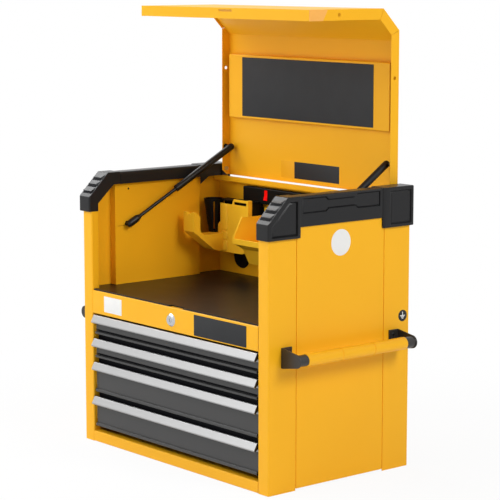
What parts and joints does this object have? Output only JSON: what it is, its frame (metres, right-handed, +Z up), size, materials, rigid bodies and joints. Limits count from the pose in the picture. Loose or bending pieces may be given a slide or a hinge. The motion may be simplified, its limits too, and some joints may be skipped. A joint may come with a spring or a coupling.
{
  "type": "drawer tool chest",
  "caption": "Sheet steel tool chest with a hinged lid on gas struts over an open till, full-width drawers on telescopic slides, moulded corner caps and tubular side handles.",
  "frame": {"origin": "middle of the footprint box on the floor", "axes": "+Z up, the drawers open towards -Y, +X to the right seen from the front"},
  "size_m": [0.783, 0.4194, 1.0064],
  "materials": {
    "yellow_powder_coat": "satin",
    "black_plastic": "fine grain",
    "black_rubber": "matte",
    "black_enamel": "satin",
    "zinc_steel": "zinc plated",
    "grey_powder_coat": "satin",
    "satin_aluminium": "satin anodised",
    "polished_chrome": "polished",
    "red_plastic": "gloss",
    "yellow_plastic": "moulded"
  },
  "bodies": {
    "case": {"left_side_panel": "yellow_powder_coat", "right_side_panel": "yellow_powder_coat", "left_front_post": "yellow_powder_coat", "right_front_post": "yellow_powder_coat", "left_rear_post": "yellow_powder_coat", "right_rear_post": "yellow_powder_coat", "rear_panel": "yellow_powder_coat", "base_pan": "yellow_powder_coat", "bottom_rail": "yellow_powder_coat", "front_rail": "yellow_powder_coat", "till_deck": "yellow_powder_coat", "rear_slide_posts": "yellow_powder_coat", "left_handle_grip": "yellow_powder_coat", "right_handle_grip": "yellow_powder_coat", "left_top_rail": "black_plastic", "right_top_rail": "black_plastic", "left_front_cap": "black_plastic", "right_front_cap": "black_plastic", "left_rear_cap": "black_plastic", "right_rear_cap": "black_plastic", "power_strip": "black_plastic", "accessory_bar": "black_plastic", "holster_frame": "black_plastic", "till_mat": "black_rubber", "cable_grommet": "black_rubber", "left_handle_brackets": "black_enamel", "right_handle_brackets": "black_enamel", "hinge_brackets": "black_enamel", "wall_ball_studs": "black_enamel", "slide_outer_rails": "zinc_steel", "hinge_pins": "zinc_steel", "lock_housing": "polished_chrome", "holster_pocket": "yellow_plastic", "parts_bin": "yellow_plastic"},
    "lid": {"lid_shell": "yellow_powder_coat", "lid_stiffener": "yellow_powder_coat", "lid_ball_studs": "black_enamel"},
    "left_rod": {"left_strut_rod": "black_enamel"},
    "left_barrel": {"left_strut_barrel": "black_enamel"},
    "right_rod": {"right_strut_rod": "black_enamel"},
    "right_barrel": {"right_strut_barrel": "black_enamel"},
    "drawer_1": {"drawer_1_box": "grey_powder_coat", "drawer_1_front": "grey_powder_coat", "drawer_1_pull": "satin_aluminium"},
    "slide_1": {"drawer_1_middle_rails": "zinc_steel"},
    "drawer_2": {"drawer_2_box": "grey_powder_coat", "drawer_2_front": "grey_powder_coat", "drawer_2_pull": "satin_aluminium"},
    "slide_2": {"drawer_2_middle_rails": "zinc_steel"},
    "drawer_3": {"drawer_3_box": "grey_powder_coat", "drawer_3_front": "grey_powder_coat", "drawer_3_pull": "satin_aluminium"},
    "slide_3": {"drawer_3_middle_rails": "zinc_steel"},
    "drawer_4": {"drawer_4_box": "grey_powder_coat", "drawer_4_front": "grey_powder_coat", "drawer_4_pull": "satin_aluminium"},
    "slide_4": {"drawer_4_middle_rails": "zinc_steel"},
    "lock": {"lock_plug": "polished_chrome", "lock_cam": "zinc_steel"},
    "rocker": {"strip_rocker": "red_plastic"}
  },
  "joints": [
    {"name": "lid_hinge", "type": "hinge", "parent": "case", "child": "lid", "pos_m": [0, 0.19095, 0.6137], "axis": [1, 0, 0], "range_deg": [0, 90]},
    {"name": "left_strut_swing", "type": "hinge", "parent": "case", "child": "left_rod", "pos_m": [-0.297, -0.09315, 0.5017], "axis": [-0.9557, 0.2156, -0.2001], "range_deg": [0, 5.08]},
    {"name": "left_strut_stroke", "type": "slide", "parent": "left_rod", "child": "left_barrel", "axis": [-0.0883, -0.8592, -0.504], "range_m": [0, 0.07123]},
    {"name": "right_strut_swing", "type": "hinge", "parent": "case", "child": "right_rod", "pos_m": [0.297, -0.09315, 0.5017], "axis": [-0.9557, -0.2156, 0.2001], "range_deg": [0, 5.08]},
    {"name": "right_strut_stroke", "type": "slide", "parent": "right_rod", "child": "right_barrel", "axis": [0.0883, -0.8592, -0.504], "range_m": [0, 0.07123]},
    {"name": "drawer_1_slide", "type": "slide", "parent": "case", "child": "drawer_1", "axis": [0, -1, 0], "range_m": [0, 0.33]},
    {"name": "middle_1_slide", "type": "slide", "parent": "case", "child": "slide_1", "axis": [0, -1, 0], "range_m": [0, 0.165]},
    {"name": "drawer_2_slide", "type": "slide", "parent": "case", "child": "drawer_2", "axis": [0, -1, 0], "range_m": [0, 0.33]},
    {"name": "middle_2_slide", "type": "slide", "parent": "case", "child": "slide_2", "axis": [0, -1, 0], "range_m": [0, 0.165]},
    {"name": "drawer_3_slide", "type": "slide", "parent": "case", "child": "drawer_3", "axis": [0, -1, 0], "range_m": [0, 0.33]},
    {"name": "middle_3_slide", "type": "slide", "parent": "case", "child": "slide_3", "axis": [0, -1, 0], "range_m": [0, 0.165]},
    {"name": "drawer_4_slide", "type": "slide", "parent": "case", "child": "drawer_4", "axis": [0, -1, 0], "range_m": [0, 0.33]},
    {"name": "middle_4_slide", "type": "slide", "parent": "case", "child": "slide_4", "axis": [0, -1, 0], "range_m": [0, 0.165]},
    {"name": "lock_turn", "type": "hinge", "parent": "case", "child": "lock", "pos_m": [0, -0.20175, 0.3285], "axis": [0, -1, 0], "range_deg": [0, 90]},
    {"name": "switch_rock", "type": "hinge", "parent": "case", "child": "rocker", "pos_m": [-0.1325, 0.18625, 0.5612], "axis": [1, 0, 0], "range_deg": [0, 16]}
  ],
  "couplings": [
    {"joint": "left_strut_swing", "follows": "lid_hinge", "ratio": 0.056351},
    {"joint": "left_strut_stroke", "follows": "lid_hinge", "m_per_rad": 0.045336},
    {"joint": "right_strut_swing", "follows": "lid_hinge", "ratio": 0.056351},
    {"joint": "right_strut_stroke", "follows": "lid_hinge", "m_per_rad": 0.045336},
    {"joint": "middle_1_slide", "follows": "drawer_1_slide", "ratio": 0.5},
    {"joint": "middle_2_slide", "follows": "drawer_2_slide", "ratio": 0.5},
    {"joint": "middle_3_slide", "follows": "drawer_3_slide", "ratio": 0.5},
    {"joint": "middle_4_slide", "follows": "drawer_4_slide", "ratio": 0.5}
  ]
}
